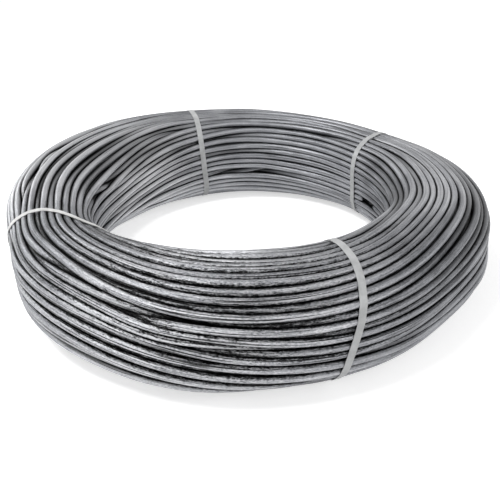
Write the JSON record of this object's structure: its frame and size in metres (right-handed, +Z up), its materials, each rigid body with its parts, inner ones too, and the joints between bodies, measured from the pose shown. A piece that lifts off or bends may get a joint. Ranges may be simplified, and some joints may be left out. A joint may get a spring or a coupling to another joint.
{
  "type": "stainless steel wire coil",
  "caption": "Thick flat-lying coil of round stainless steel wire with an open eye, its packed turns held together by flat plastic straps.",
  "frame": {"origin": "on the coil's axis, at the floor the straps rest on", "axes": "+Z up along the coil's axis; +X to the right and +Y away from the viewer as the picture shows it"},
  "size_m": [0.7499, 0.75, 0.1618],
  "materials": {
    "wire": "satin",
    "strap": "matte"
  },
  "bodies": {
    "root": {"wire_coil": "wire", "strap_left": "strap", "strap_back_left": "strap", "strap_back_right": "strap", "strap_front_right": "strap"}
  },
  "joints": []
}
